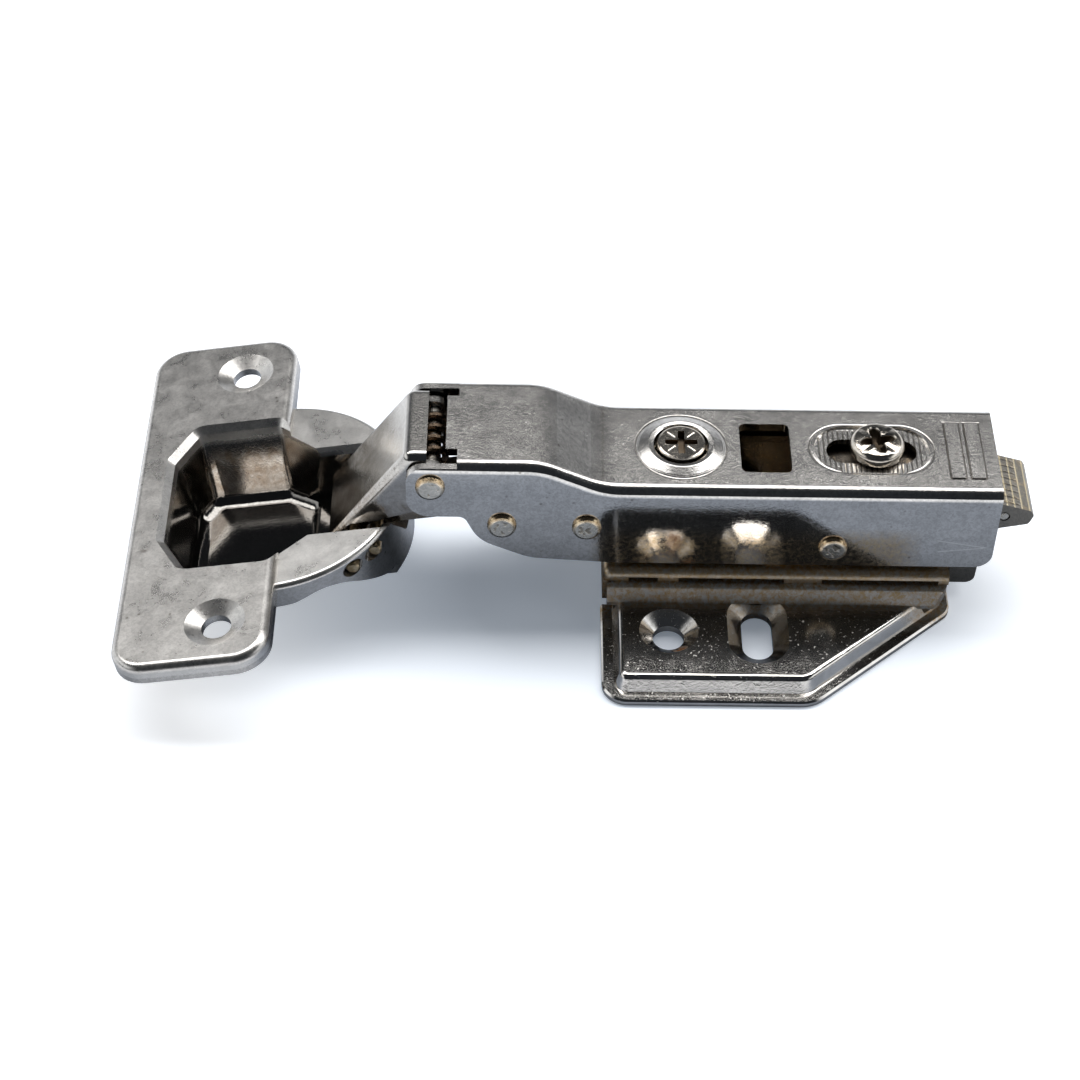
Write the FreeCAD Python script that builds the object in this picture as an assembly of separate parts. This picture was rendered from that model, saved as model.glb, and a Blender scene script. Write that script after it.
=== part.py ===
import FreeCAD, Part
import math
import os

# Concealed cabinet hinge with a clip-on mounting plate, shown fully open.
# Lengths are in millimetres. The origin lies on the plate's mounting face, midway between
# its two round holes. +X runs along the arm to its rear, +Z away from the cabinet side.
# Side outlines are lists of (x, z, corner radius); plan outlines are (x, y, corner radius).

V = FreeCAD.Vector

# Fits and gaps
FIT = 0.05
PLAY = 0.3
EPS = 0.5

# Arm: a folded channel, cranked up towards the door
ARM_TOP = 21.94
ARM_RISE = 4.0
ARM_HALF = 8.54
ARM_SHEET = 1.25
ARM_INSIDE = ARM_HALF - ARM_SHEET
ARM_BEND = 1.4
ARM_REAR = 43.5
ARM_FRONT = -30.15
ARM_SKIRT = 8.34
RAMP_LOW = -9.0
RAMP_HIGH = -17.45
RAMP_RADIUS = 9.6
EAR_FRONT = -35.33
EAR_TOP = 25.3
EAR_FOOT = 16.69
EAR_BACK = -28.6
EAR_HEEL = -27.7
TONGUE_INSET = 2.14
TONGUE_HALF = ARM_INSIDE - TONGUE_INSET
BELLY_FRONT = -25.77
BELLY_REAR = -18.95

# Rivets along the arm
RIVET_SHANK = 1.28
RIVET_HEAD = 1.96
RIVET_CROWN = 0.7
RIVET_GAP = 0.02
OUTER_PIVOT = (-32.14, 22.19)
INNER_PIVOT = (-22.67, 15.28)
DAMPER_PIVOT = (-11.37, 15.11)
REAR_PIVOT = (21.83, 11.74)

# Features of the arm's top
COLLAR_X = 1.16
COLLAR_OUTER = 6.09
COLLAR_HIGH = 0.65
COLLAR_BORE = 3.65
COLLAR_DEPTH = 1.45
WINDOW_X = 12.46
WINDOW_LENGTH = 6.76
WINDOW_WIDTH = 9.36
SLOT_X = 26.72
SLOT_PAN_HALF = 7.77
SLOT_PAN_RADIUS = 4.5
SLOT_PAN_DEEP = 0.4
SLOT_HALF = 6.07
SLOT_RADIUS = 2.3
STRIPE_X = (36.85, 39.55)
STRIPE_WIDTH = 2.0
STRIPE_HALF = 5.4
STRIPE_HIGH = 0.15

# Door cup: flange, drawn pan and the round nose; u runs towards the arm, n is its normal
CUP_TILT = 9.55
CUP_X = -53.8
CUP_Z = 13.42
CUP_RADIUS = 17.5
CUP_SHEET = 1.1
CUP_DEPTH = 10.3
PAN_FRONT_HALF = 7.5
FLANGE_BACK = -19.7
FLANGE_EDGE = 1.27
FLANGE_HALF = 31.0
FLANGE_CORNER = 4.68
FLANGE_RIM = 2.8
FLANGE_ROUND = 1.1
DOOR_HOLE_U = -6.0
DOOR_HOLE_V = 24.0
DOOR_HOLE_R = 2.0
DIMPLE_R = 4.05
DIMPLE_DEEP = 1.0
EAR_DROP = 1.5
EAR_ROUND = 0.7
BEVEL = 0.9
THROAT_TAPER = 0.25
THROAT_SLOT_TOP = 6.9
THROAT_SLOT_FOOT = 3.6
THROAT_SLOT_DEEP = 7.2
OUTER_PIN = (11.04, -3.43)
INNER_PIN = (13.88, -3.42)
PIN_R = 0.9
PIN_HOLE_R = 1.25

# Levers and their springs
LEVER_PLAY = 0.44
LEVER_HALF = ARM_INSIDE - LEVER_PLAY
LEVER_SHEET = 1.15
LEVER_BEND = 1.3
THROAT_PLAY = 1.55
THROAT_HALF = LEVER_HALF + THROAT_PLAY
LEVER_REAR = -32.65
LEVER_KNEE = -35.3
LEVER_TIP = (-46.3, 9.9)
LEVER_EYE = 2.15
LEVER_FOOT_EYE = 1.6
INNER_PLAY = 1.25
INNER_HALF = LEVER_HALF - LEVER_SHEET - INNER_PLAY
INNER_SHEET = 1.15
INNER_THICK = 2.35
INNER_EYE = 3.2
INNER_EYE_HOLE = 2.25
INNER_FOOT_EYE = 1.6
TAIL_LENGTH = 4.4
TAIL_ANGLE = -75.0
TAIL_TIP = 0.6
COIL_R = 1.85
COIL_WIRE = 0.95
COIL_TURNS = 4.4
COIL_PLAY = 0.97
COIL_PITCH = 2 * (LEVER_HALF - LEVER_SHEET - COIL_PLAY) / COIL_TURNS
WIRE_FLATS = 8

# Soft-close damper
DAMPER_Z = 11.6
DAMPER_R = 2.3
DAMPER_FRONT = -17.1
DAMPER_REAR = -10.1
DAMPER_CAP = 1.4
DAMPER_LUG = 2.1
ROD_R = 0.85
ROD_TIP = -19.9
ROD_TIP_R = 1.25
ROD_TIP_LENGTH = 0.7
ROD_END = -14.6

# Carriage: the inner channel that clips on the plate
CARRIAGE_PLAY = 0.44
CARRIAGE_HALF = ARM_INSIDE - CARRIAGE_PLAY
CARRIAGE_TOP = 19.7
CARRIAGE_SHEET = 1.2
CARRIAGE_FOOT = 8.8
CARRIAGE_FRONT = -7.4
CARRIAGE_REAR = 41.0
CLIP_PIN = (-4.9, 11.0)
CLIP_PIN_R = 1.25
DEPTH_TRAVEL = 2.0

# Screws
SIDE_SCREW_R = 3.25
SIDE_SCREW_TOP = 22.85
SIDE_NECK_R = 1.7
SIDE_FOOT_R = 2.5
SIDE_FOOT_HIGH = 0.8
DEPTH_SCREW_X = 27.35
DEPTH_HEAD_R = 3.67
DEPTH_HEAD_HIGH = 1.95
DEPTH_SHANK_R = 2.0
DEPTH_END = 16.0
NUT_HALF = 3.5
NUT_HIGH = 1.9

# Release lever at the rear
RELEASE_PIN = (45.0, 14.45)
RELEASE_PIN_R = 0.6
RELEASE_PLAY = 0.75
RELEASE_HALF = CARRIAGE_HALF - CARRIAGE_SHEET - RELEASE_PLAY
RELEASE_CHEEK = 1.0
RELEASE_SKIN = 0.8
RELEASE_HOOK = 37.6
RELEASE_BACK = 42.6
RELEASE_FOOT = 1.5
HORN_PLAY = 0.35
HORN_HALF = RELEASE_HALF - RELEASE_CHEEK - HORN_PLAY
HORN_SHEET = 1.05
RELEASE_COIL_R = 0.92
RELEASE_COIL_WIRE = 0.36
RELEASE_COIL_PITCH = 0.8
RELEASE_COIL_PLAY = 0.9
RELEASE_COIL_REACH = 2 * (HORN_HALF - HORN_SHEET - RELEASE_COIL_PLAY)
RELEASE_COIL_TURNS = max(1, round(RELEASE_COIL_REACH / RELEASE_COIL_PITCH))

# Mounting plate, its saddle and clip rail
PLATE_FRONT = -9.1
PLATE_REAR = 38.9
PLATE_HALF = 26.75
PLATE_SHEET = 1.2
PLATE_TOP = 3.0
PLATE_LIP = 1.6
PLATE_LIP_HIGH = 0.9
PLATE_SLOPE = 0.95
PLATE_ROUND = 0.8
PLATE_CUT_X = 19.1
PLATE_CUT_Y = 9.8
SADDLE_PLAY = 0.56
SADDLE_HALF = ARM_HALF + SADDLE_PLAY
RIDGE_HIGH = 2.3
RIDGE_EDGE = 0.65
RIDGE_HALF = SADDLE_HALF + RIDGE_EDGE
RIDGE_RUN = 1.15
RIDGE_FOOT = RIDGE_HALF + RIDGE_RUN
ROW_HALF = 16.0
ROUND_X = 0.0
HOLE_R = 2.15
HOLE_DIMPLE_R = 4.0
OBLONG_X = 12.04
OBLONG_HALF = 15.5
OBLONG_R = 2.1
OBLONG_REACH = 2.1
OBLONG_DIMPLE_R = 4.1
HOLE_DEEP = 1.5
SADDLE_SHEET = 1.2
SADDLE_TOP = 7.15
SADDLE_FRONT = -8.85
SADDLE_REAR = 38.2
SADDLE_BEND = 1.3
SLIT_HIGH = 0.7
SLITS = ((-5.4, -1.4), (1.4, 15.8), (20.9, 36.8))
RAIL_PLAY = 0.55
RAIL_HALF = CARRIAGE_HALF - CARRIAGE_SHEET - RAIL_PLAY
RAIL_SHEET = 1.0
RAIL_TOP = 14.6
RAIL_FRONT = -7.4
RAIL_REAR = 13.4
RAIL_FOOT = 1.0
PLATE_RIVET_X = (1.0, 10.0)
PLATE_RIVET_R = 1.3
PLATE_RIVET_HEAD = 2.1


# Outlines and simple solids

def corner_arc(before, corner, after, radius):
    """Two tangent points and the middle of the arc that rounds a corner."""
    a = before.sub(corner).normalize()
    b = after.sub(corner).normalize()
    half = a.getAngle(b) / 2
    reach = radius / math.tan(half)
    bisector = a.add(b).normalize()
    centre = corner.add(bisector * (radius / math.sin(half)))
    return corner.add(a * reach), centre.sub(bisector * radius), corner.add(b * reach)


def rounded_wire(points, place):
    """Closed wire through corners (a, b, radius), laid out in space by place(a, b)."""
    corners = [place(p[0], p[1]) for p in points]
    radii = [p[2] if len(p) > 2 else 0.0 for p in points]
    count = len(corners)
    stops = []
    for i in range(count):
        if radii[i] > 0:
            stops.append(corner_arc(corners[i - 1], corners[i], corners[(i + 1) % count], radii[i]))
        else:
            stops.append((corners[i],))
    edges = []
    for i in range(count):
        if len(stops[i]) > 1:
            edges.append(Part.Arc(*stops[i]).toShape())
        start = stops[i][-1]
        end = stops[(i + 1) % count][0]
        if start.distanceToPoint(end) > 1e-6:
            edges.append(Part.LineSegment(start, end).toShape())
    return Part.Wire(edges)


def side_prism(points, y_low, y_high):
    """Solid with a side outline, between two y values."""
    wire = rounded_wire(points, lambda x, z: V(x, y_low, z))
    return Part.Face(wire).extrude(V(0, y_high - y_low, 0))


def plan_prism(points, z_low, z_high):
    """Solid with a plan outline, between two heights."""
    wire = rounded_wire(points, lambda x, y: V(x, y, z_low))
    return Part.Face(wire).extrude(V(0, 0, z_high - z_low))


def end_prism(points, x_low, x_high):
    """Solid with an outline of (y, z, radius), between two x values."""
    wire = rounded_wire(points, lambda y, z: V(x_low, y, z))
    return Part.Face(wire).extrude(V(x_high - x_low, 0, 0))


def plan_loft(low, z_low, high, z_high):
    """Solid between two plan outlines with as many corners each."""
    first = rounded_wire(low, lambda x, y: V(x, y, z_low))
    second = rounded_wire(high, lambda x, y: V(x, y, z_high))
    return Part.makeLoft([first, second], True, True)


def block(x_low, x_high, y_low, y_high, z_low, z_high):
    return Part.makeBox(x_high - x_low, y_high - y_low, z_high - z_low, V(x_low, y_low, z_low))


def bar_y(centre, radius, y_low, y_high):
    """Round bar along y at a side-view centre (x, z)."""
    return Part.makeCylinder(radius, y_high - y_low, V(centre[0], y_low, centre[1]), V(0, 1, 0))


def bar_z(x, y, radius, z_low, z_high):
    return Part.makeCylinder(radius, z_high - z_low, V(x, y, z_low), V(0, 0, 1))


def bar_x(z, radius, x_low, x_high):
    return Part.makeCylinder(radius, x_high - x_low, V(x_low, 0, z), V(1, 0, 0))


def turned(points, x, y):
    """Solid of revolution about a vertical axis, from an outline of (radius, z, corner).

    A corner is broken by two small cones, which mesh far lighter than a round.
    """
    corners = [V(x + p[0], y, p[1]) for p in points]
    track = []
    for i, point in enumerate(points):
        if len(point) > 2:
            track.extend(corner_arc(corners[i - 1], corners[i], corners[(i + 1) % len(corners)],
                                    point[2]))
        else:
            track.append(corners[i])
    return Part.Face(Part.makePolygon(track + track[:1])).revolve(V(x, y, 0), V(0, 0, 1), 360)


def oblong(x, y, radius, reach_x, reach_y, z_low, z_high):
    """Straight slot shape: a round end at each side of its centre."""
    body = bar_z(x - reach_x, y - reach_y, radius, z_low, z_high)
    body = body.fuse(bar_z(x + reach_x, y + reach_y, radius, z_low, z_high))
    if reach_x > 0:
        middle = block(x - reach_x, x + reach_x, y - radius, y + radius, z_low, z_high)
    else:
        middle = block(x - radius, x + radius, y - reach_y, y + reach_y, z_low, z_high)
    return body.fuse(middle).removeSplitter()


def oblong_cone(x, y, low_r, high_r, reach_y, z_low, z_high):
    """Tapered slot shape along y."""
    def track(r):
        return [(x - r, y - reach_y - r, r * 0.98), (x + r, y - reach_y - r, r * 0.98),
                (x + r, y + reach_y + r, r * 0.98), (x - r, y + reach_y + r, r * 0.98)]
    return plan_loft(track(low_r), z_low, track(high_r), z_high)


def union(shapes):
    body = shapes[0].fuse(shapes[1:]) if len(shapes) > 1 else shapes[0]
    return body.removeSplitter()


def fillet_where(shape, radius, test):
    """Round the edges whose middle point and box pass a test."""
    chosen = [e for e in shape.Edges if test(e.BoundBox)]
    return shape.makeFillet(radius, chosen)


def chamfer_where(shape, width, test):
    """Break the edges whose box passes a test."""
    chosen = [e for e in shape.Edges if test(e.BoundBox)]
    return shape.makeChamfer(width, chosen)


def rivet_head(pivot, side):
    """Low domed head outside one wall of the arm."""
    head = turned([(0, 0), (RIVET_HEAD, 0), (RIVET_HEAD, RIVET_CROWN, RIVET_CROWN * 0.7),
                   (0, RIVET_CROWN)], 0, 0)
    head.rotate(V(0, 0, 0), V(1, 0, 0), -90 * side)
    head.translate(V(pivot[0], side * (ARM_HALF + RIVET_GAP), pivot[1]))
    return head


def inset(points, distance):
    """Plan outline moved inwards; its corners run anticlockwise."""
    moved = []
    count = len(points)
    for i in range(count):
        a, b, c = points[i - 1], points[i], points[(i + 1) % count]
        d1 = V(b[0] - a[0], b[1] - a[1], 0).normalize()
        d2 = V(c[0] - b[0], c[1] - b[1], 0).normalize()
        n1 = V(-d1.y, d1.x, 0)
        n2 = V(-d2.y, d2.x, 0)
        shift = n1.add(n2) * (distance / (1 + n1.dot(n2)))
        radius = b[2] if len(b) > 2 else 0.0
        moved.append((b[0] + shift.x, b[1] + shift.y, max(radius - distance, 0.3) if radius else 0.0))
    return moved


def coil(radius, wire, pitch, turns):
    """Coil about the z axis, centred on the origin; its wire is drawn with eight flats."""
    height = pitch * turns
    path = Part.Wire(Part.makeHelix(pitch, height, radius))
    ring = []
    for i in range(WIRE_FLATS + 1):
        angle = 2 * math.pi * i / WIRE_FLATS
        ring.append(V(radius + wire / 2 * math.cos(angle), 0, wire / 2 * math.sin(angle)))
    body = path.makePipeShell([Part.makePolygon(ring)], True, True)
    body.translate(V(0, 0, -height / 2))
    return body


def lay_along_y(shape, centre):
    """Turn a shape's z axis to y and move it to a side-view centre."""
    laid = shape.copy()
    laid.rotate(V(0, 0, 0), V(1, 0, 0), -90)
    laid.translate(V(centre[0], 0, centre[1]))
    return laid


def cup_to_part(shape):
    """Place a shape that was drawn in the cup's own axes (u, v, n)."""
    placed = shape.copy()
    placed.rotate(V(0, 0, 0), V(0, 1, 0), -CUP_TILT)
    placed.translate(V(CUP_X, 0, CUP_Z))
    return placed


def cup_point(point):
    """Side-view place (x, z) of a point (u, n) of the cup."""
    turn = math.radians(CUP_TILT)
    x = CUP_X + point[0] * math.cos(turn) - point[1] * math.sin(turn)
    z = CUP_Z + point[0] * math.sin(turn) + point[1] * math.cos(turn)
    return x, z


# Arm

def arm_path(drop):
    """Side outline of the arm's roof, lowered by drop, closed far below."""
    high = ARM_TOP + ARM_RISE - drop
    low = ARM_TOP - drop
    front = EAR_FRONT - 4 * EPS
    return [(front, 0.0), (ARM_REAR + drop, 0.0), (ARM_REAR + drop, low), (RAMP_LOW, low, RAMP_RADIUS),
            (RAMP_HIGH, high, RAMP_RADIUS), (front, high)]


def arm_side():
    """Side outline of the arm's walls."""
    above = ARM_TOP + ARM_RISE + EPS
    return [(ARM_REAR, above), (EAR_FRONT, above), (EAR_FRONT, EAR_FOOT, 3.1),
            (EAR_HEEL, EAR_FOOT, 1.3), (BELLY_FRONT, ARM_SKIRT + 4.0, 5.4),
            (BELLY_REAR, ARM_SKIRT + 0.75, 7.5),
            (BELLY_REAR + 11.4, ARM_SKIRT, 20.0), (ARM_REAR, ARM_SKIRT, 2.3)]


def collar_outline():
    high = ARM_TOP + COLLAR_HIGH
    low = ARM_TOP - COLLAR_DEPTH
    under = ARM_TOP - ARM_SHEET
    return [(COLLAR_BORE, high - 0.1, 0.25), (COLLAR_BORE + 0.75, high, 0.4),
            (COLLAR_OUTER - 0.3, ARM_TOP + 0.12, 0.9),
            (COLLAR_OUTER, ARM_TOP - 0.1), (COLLAR_OUTER, under), (COLLAR_BORE + 1.2, under, 0.4),
            (COLLAR_BORE + 1.0, low, 0.2), (COLLAR_BORE, low)]


def hinge_arm():
    outer = side_prism(arm_path(0), -ARM_HALF, ARM_HALF)
    outer = fillet_where(outer, ARM_BEND, lambda b: b.ZMin > ARM_TOP - EPS and b.YLength < EPS
                         and b.XLength > EPS)
    inner_half = ARM_HALF - ARM_SHEET
    inner = side_prism(arm_path(ARM_SHEET), -inner_half, inner_half)
    body = outer.cut(inner)
    body = body.common(side_prism(arm_side(), -ARM_HALF, ARM_HALF))
    roof = ARM_TOP
    above = ARM_TOP + ARM_RISE + EPS
    far = EAR_FRONT - EPS
    body = body.cut(block(far, ARM_FRONT, -inner_half, inner_half, roof, above))
    for side in (-1, 1):
        low, high = sorted((side * TONGUE_HALF, side * inner_half))
        body = body.cut(block(far, EAR_BACK, low, high, roof, above))
        low, high = sorted((side * inner_half, side * (ARM_HALF + EPS)))
        body = body.cut(block(far, EAR_BACK, low, high, EAR_TOP, above))
    body = fillet_where(body, 2.4, lambda b: b.YLength < ARM_SHEET + 0.1 and b.XLength < 0.01
                        and b.ZLength < 0.01 and b.XMax < EAR_FRONT + 0.1 and b.ZMin > EAR_TOP - 0.1)
    body = body.fuse(turned(collar_outline(), COLLAR_X, 0))
    body = body.cut(bar_z(COLLAR_X, 0, COLLAR_BORE, 0, above))
    half = WINDOW_LENGTH / 2
    wide = WINDOW_WIDTH / 2
    window = [(WINDOW_X - half, -wide, 0.9), (WINDOW_X + half, -wide, 0.9),
              (WINDOW_X + half, wide, 0.9), (WINDOW_X - half, wide, 0.9)]
    body = body.cut(plan_prism(window, roof - 2 * ARM_SHEET, above))
    body = body.cut(oblong(SLOT_X, 0, SLOT_PAN_RADIUS, SLOT_PAN_HALF - SLOT_PAN_RADIUS, 0,
                           roof - SLOT_PAN_DEEP, above))
    body = body.cut(oblong(SLOT_X, 0, SLOT_RADIUS, SLOT_HALF - SLOT_RADIUS, 0, roof - 2 * ARM_SHEET,
                           above))
    for x in STRIPE_X:
        stripe = [(x, -STRIPE_HALF, 0.3), (x + STRIPE_WIDTH, -STRIPE_HALF, 0.3),
                  (x + STRIPE_WIDTH, STRIPE_HALF, 0.3), (x, STRIPE_HALF, 0.3)]
        body = body.fuse(plan_prism(stripe, roof - STRIPE_HIGH, roof + STRIPE_HIGH))
    for pivot in (OUTER_PIVOT, INNER_PIVOT, DAMPER_PIVOT, REAR_PIVOT):
        body = body.cut(bar_y(pivot, RIVET_SHANK + FIT, -above, above))
    return body.removeSplitter()


def arm_rivet(pivot):
    """Headed rivet through both walls."""
    reach = ARM_HALF + RIVET_GAP
    shank = bar_y(pivot, RIVET_SHANK, -reach, reach)
    return union([shank, rivet_head(pivot, -1), rivet_head(pivot, 1)])


def rear_rivet():
    """Two short studs that carry the arm in the slots of the carriage."""
    studs = []
    inner = CARRIAGE_HALF - CARRIAGE_SHEET - PLAY
    for side in (-1, 1):
        low, high = sorted((side * inner, side * (ARM_HALF + RIVET_GAP)))
        stud = bar_y(REAR_PIVOT, RIVET_SHANK, low, high)
        studs.append(union([stud, rivet_head(REAR_PIVOT, side)]))
    return Part.makeCompound(studs)


# Levers

def lever_path(drop):
    """Side outline of the outer lever's roof and web, lowered by drop and run on past its tip."""
    top = ARM_TOP + ARM_RISE
    slope = V(LEVER_TIP[0] - LEVER_KNEE, 0, LEVER_TIP[1] - top).normalize()
    across = V(-slope.z, 0, slope.x)
    knee = (LEVER_KNEE + drop * (1 - across.z) / across.x, top - drop, 1.6 - drop)
    tip = V(LEVER_TIP[0], 0, LEVER_TIP[1]).add(across * drop).add(slope * 4.0)
    back = LEVER_REAR + 9
    return [(back, top - drop), knee, (tip.x, tip.z), (back, tip.z)]


def outer_lever():
    top = ARM_TOP + ARM_RISE
    foot = cup_point(OUTER_PIN)
    eye_x, eye_z = OUTER_PIVOT
    inner_pin = cup_point(INNER_PIN)
    body = side_prism(lever_path(0), -LEVER_HALF, LEVER_HALF)
    knee_low = LEVER_TIP[1] - 4
    body = fillet_where(body, LEVER_BEND, lambda b: b.YLength < EPS and b.ZMax > top - EPS
                        and b.ZMin > knee_low
                        and b.XMax - b.XMin > 0.1)
    inner_half = LEVER_HALF - LEVER_SHEET
    body = body.cut(side_prism(lever_path(LEVER_SHEET), -inner_half, inner_half))
    outline = [(LEVER_REAR, top + 1), (LEVER_TIP[0] - 3, top + 1), (LEVER_TIP[0] - 3, LEVER_TIP[1]),
               (LEVER_TIP[0] + 1.6, LEVER_TIP[1] + 0.4, 0.5), (foot[0], foot[1] + 0.7, 0.8),
               (-38.1, 14.6, 6.0),
               (eye_x - 0.6, 16.5, 3.0), (eye_x + LEVER_EYE, eye_z - 2.6, 2.4),
               (eye_x + LEVER_EYE, eye_z + LEVER_EYE, 1.9), (LEVER_REAR, eye_z + LEVER_EYE)]
    body = body.common(side_prism(outline, -LEVER_HALF, LEVER_HALF))
    for side in (-1, 1):
        low, high = sorted((side * inner_half, side * LEVER_HALF))
        body = body.fuse(bar_y(foot, LEVER_FOOT_EYE, low, high))
    wide = LEVER_HALF + EPS
    body = body.cut(bar_y(inner_pin, PIN_R + PLAY, -wide, wide))
    body = body.cut(bar_y(foot, PIN_R + FIT, -wide, wide))
    body = body.cut(bar_y(OUTER_PIVOT, RIVET_SHANK + FIT, -wide, wide))
    return body.removeSplitter()


def inner_lever():
    pivot = INNER_PIVOT
    foot = cup_point(INNER_PIN)
    half = INNER_THICK / 2
    along = V(foot[0] - pivot[0], 0, foot[1] - pivot[1]).normalize()
    up = V(-along.z, 0, along.x)
    if up.z < 0:
        up = up * -1
    start = V(pivot[0], 0, pivot[1])
    end = V(foot[0], 0, foot[1])
    corners = [start.add(up * half), end.add(up * half), end.sub(up * half), start.sub(up * half)]
    web = side_prism([(c.x, c.z) for c in corners], -INNER_HALF, INNER_HALF)
    angle = math.radians(TAIL_ANGLE)
    tip = (pivot[0] + TAIL_LENGTH * math.cos(angle), pivot[1] + TAIL_LENGTH * math.sin(angle))
    side = V(math.sin(angle), 0, -math.cos(angle)) * TAIL_TIP
    tail_end = V(tip[0], 0, tip[1])
    tail = side_prism([(start.x + side.x, start.z + side.z), (tail_end.x + side.x, tail_end.z + side.z),
                       (tail_end.x - side.x, tail_end.z - side.z), (start.x - side.x, start.z - side.z)],
                      -INNER_HALF, INNER_HALF)
    body = union([web, bar_y(pivot, INNER_EYE, -INNER_HALF, INNER_HALF),
                  bar_y(foot, INNER_FOOT_EYE, -INNER_HALF, INNER_HALF), tail,
                  bar_y(tip, TAIL_TIP, -INNER_HALF, INNER_HALF)])
    gap = INNER_HALF - INNER_SHEET
    first = start.add(along * (INNER_EYE + 0.6))
    last = end.sub(along * (INNER_FOOT_EYE + 0.8))
    low = INNER_SHEET - half
    pocket = [first.add(up * low), first.add(up * 4), last.add(up * 4), last.add(up * low)]
    body = body.cut(side_prism([(c.x, c.z) for c in pocket], -gap, gap))
    wide = INNER_HALF + EPS
    body = body.cut(bar_y(pivot, INNER_EYE_HOLE, -wide, wide))
    body = body.cut(bar_y(foot, PIN_R + FIT, -wide, wide))
    return body.removeSplitter()


def torsion_spring():
    body = lay_along_y(coil(COIL_R, COIL_WIRE, COIL_PITCH, COIL_TURNS), OUTER_PIVOT)
    return body


# Damper

def damper_body():
    tube = bar_x(DAMPER_Z, DAMPER_R, DAMPER_FRONT + DAMPER_CAP, DAMPER_REAR)
    tube = chamfer_where(tube, 0.45, lambda b: b.XMin > DAMPER_REAR - 0.1)
    lug_foot = DAMPER_Z
    lug_x = DAMPER_PIVOT[0]
    lug = block(lug_x - DAMPER_LUG, DAMPER_REAR - 0.1, -1.5, 1.5, lug_foot, DAMPER_PIVOT[1])
    eye = bar_y(DAMPER_PIVOT, DAMPER_LUG, -1.5, 1.5)
    body = union([tube, lug, eye])
    body = body.cut(bar_x(DAMPER_Z, ROD_R + 0.06, DAMPER_FRONT, DAMPER_REAR - 0.8))
    return body.cut(bar_y(DAMPER_PIVOT, RIVET_SHANK + FIT, -3, 3))


def damper_cap():
    ring = bar_x(DAMPER_Z, DAMPER_R, DAMPER_FRONT, DAMPER_FRONT + DAMPER_CAP)
    ring = chamfer_where(ring, 0.4, lambda b: b.XMax < DAMPER_FRONT + 0.1)
    return ring.cut(bar_x(DAMPER_Z, ROD_R + FIT, DAMPER_FRONT - 1, DAMPER_FRONT + DAMPER_CAP + 1))


def damper_rod():
    rod = bar_x(DAMPER_Z, ROD_R, ROD_TIP + ROD_TIP_LENGTH / 2, ROD_END)
    tip = bar_x(DAMPER_Z, ROD_TIP_R, ROD_TIP, ROD_TIP + ROD_TIP_LENGTH)
    tip = chamfer_where(tip, 0.2, lambda b: b.XMax < ROD_TIP + 0.1)
    return rod.fuse(tip).removeSplitter()


# Cup

def pan_outline(grow, sink):
    """Plan outline of the drawn pan, grown outwards; sink runs from 0 at the top to 1 at the floor."""
    def mix(top, floor):
        return top + (floor - top) * sink
    back = mix(-15.7 + BEVEL, -13.1)
    back_half = mix(7.5, 5.3)
    side_back = mix(-12.0 + BEVEL * 0.5, -11.0)
    side = mix(13.9 - BEVEL, 8.5)
    side_front = mix(-0.3, -0.4)
    front = mix(6.3, 4.4)
    front_half = mix(PAN_FRONT_HALF, 5.9)
    turn = mix(1.3, 2.4)
    points = [(back, -back_half, turn), (side_back, -side, turn), (side_front, -side, turn),
              (front, -front_half, turn),
              (front, front_half, turn), (side_front, side, turn), (side_back, side, turn),
              (back, back_half, turn)]
    return inset(points, -grow) if grow else points


def throat_outline(grow, narrow):
    """Plan outline of the channel that runs from the pan through the nose."""
    half = THROAT_HALF - BEVEL + grow - narrow
    return [(1.5, -half, 0.8), (CUP_RADIUS + 2, -half, 0.8), (CUP_RADIUS + 2, half, 0.8),
            (1.5, half, 0.8)]


def skirt_cut():
    """What is taken off the round skirt's lower edge, drawn in the cup's axes."""
    low = -CUP_DEPTH - 3
    line = [(-2.0, -5.4), (3.0, -5.2, 4.0), (6.8, -4.0, 5.0), (9.6, -4.7, 6.0), (14.6, -9.1, 3.0),
            (16.0, -10.2), (16.0, low),
            (-2.0, low)]
    return side_prism(line, -CUP_RADIUS - 1, CUP_RADIUS + 1)


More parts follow.
